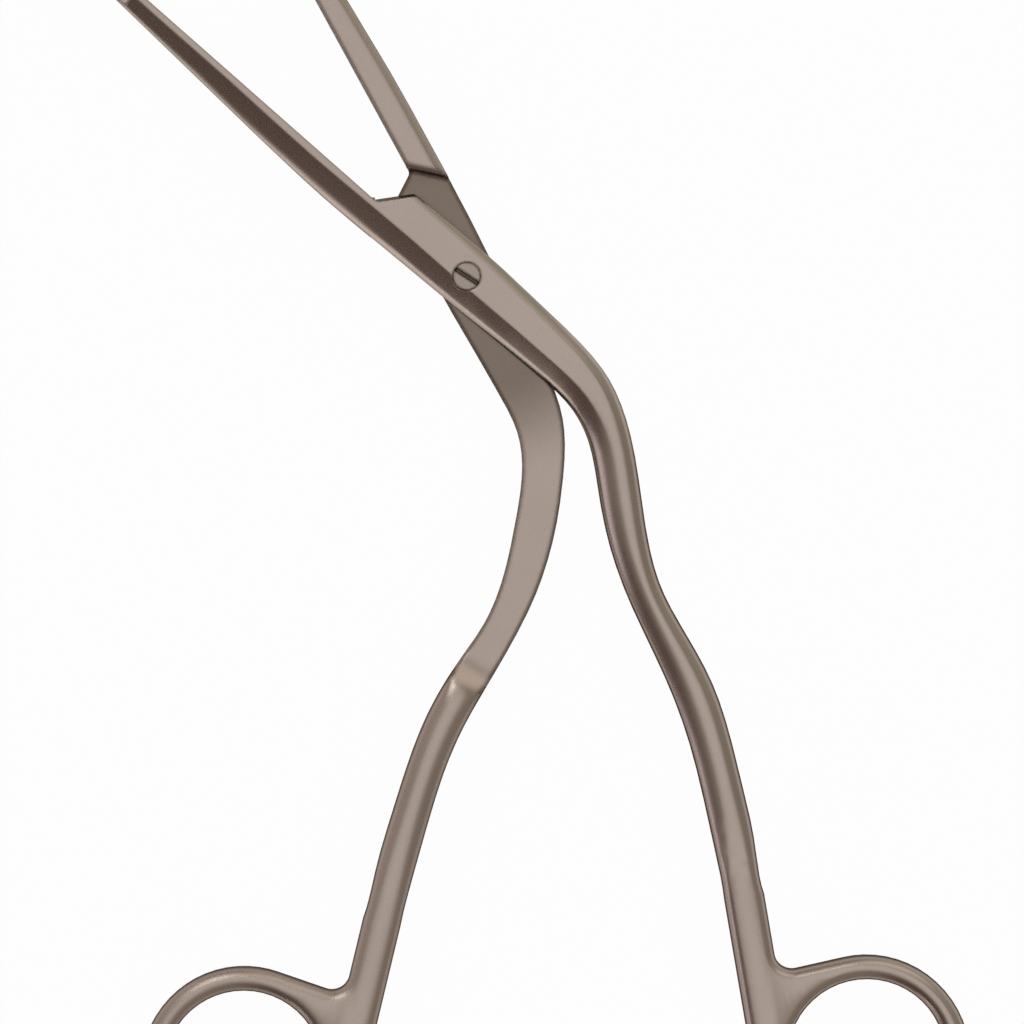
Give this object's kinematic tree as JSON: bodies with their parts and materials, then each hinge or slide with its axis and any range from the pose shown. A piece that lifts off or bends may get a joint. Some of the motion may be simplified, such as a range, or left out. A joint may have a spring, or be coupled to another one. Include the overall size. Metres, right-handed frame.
{
  "type": "magill forceps",
  "caption": "Angled intubation forceps with crossing lap-jointed halves, offset ring handles and serrated fenestrated oval jaw tips on a slotted pivot screw.",
  "frame": {"origin": "on the pivot screw's axis, at the lock's lower face", "axes": "+Z along the pivot axis towards the screw's head, +Y towards the jaw tips in the open pose, +X towards the front half's ring"},
  "size_m": [0.1568, 0.2342, 0.008],
  "materials": {
    "front_steel": "satin stainless steel",
    "rear_steel": "satin stainless steel",
    "screw_steel": "turned stainless steel"
  },
  "bodies": {
    "rear": {"rear_half": "rear_steel", "pivot_screw": "screw_steel"},
    "front": {"front_half": "front_steel"}
  },
  "joints": [
    {"name": "lock_pivot", "type": "hinge", "parent": "rear", "child": "front", "pos_m": [0, 0, 0], "axis": [0, 0, 1], "range_deg": [-20, 35]}
  ]
}
